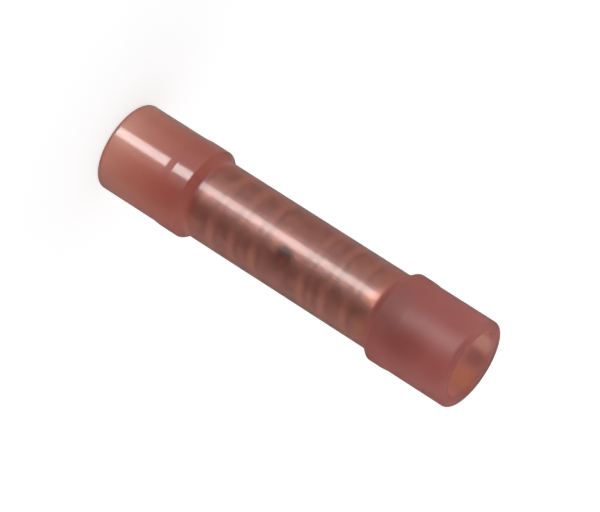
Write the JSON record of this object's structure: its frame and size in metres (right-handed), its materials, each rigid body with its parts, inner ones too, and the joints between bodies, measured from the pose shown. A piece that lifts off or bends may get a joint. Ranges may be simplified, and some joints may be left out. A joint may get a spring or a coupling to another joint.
{
  "type": "butt splice connector",
  "caption": "Crimp splice that joins stranded wires end to end: a metal barrel with a wire stop inside a translucent red sleeve with flared, funnelled ends.",
  "frame": {"origin": "centre of the lower mouth, on the surface that the part stands on", "axes": "+Z along the axis of the splice, from the lower mouth to the upper one; -Y is the side with the press mark of the wire stop"},
  "size_m": [0.0058, 0.0058, 0.026],
  "materials": {
    "sleeve_nylon": "translucent red nylon, smooth, a little hazy",
    "barrel_metal": "tin-plated copper tube, satin, bare at its cut ends"
  },
  "bodies": {
    "root": {"insulation_sleeve": "sleeve_nylon", "crimp_barrel": "barrel_metal"}
  },
  "joints": []
}
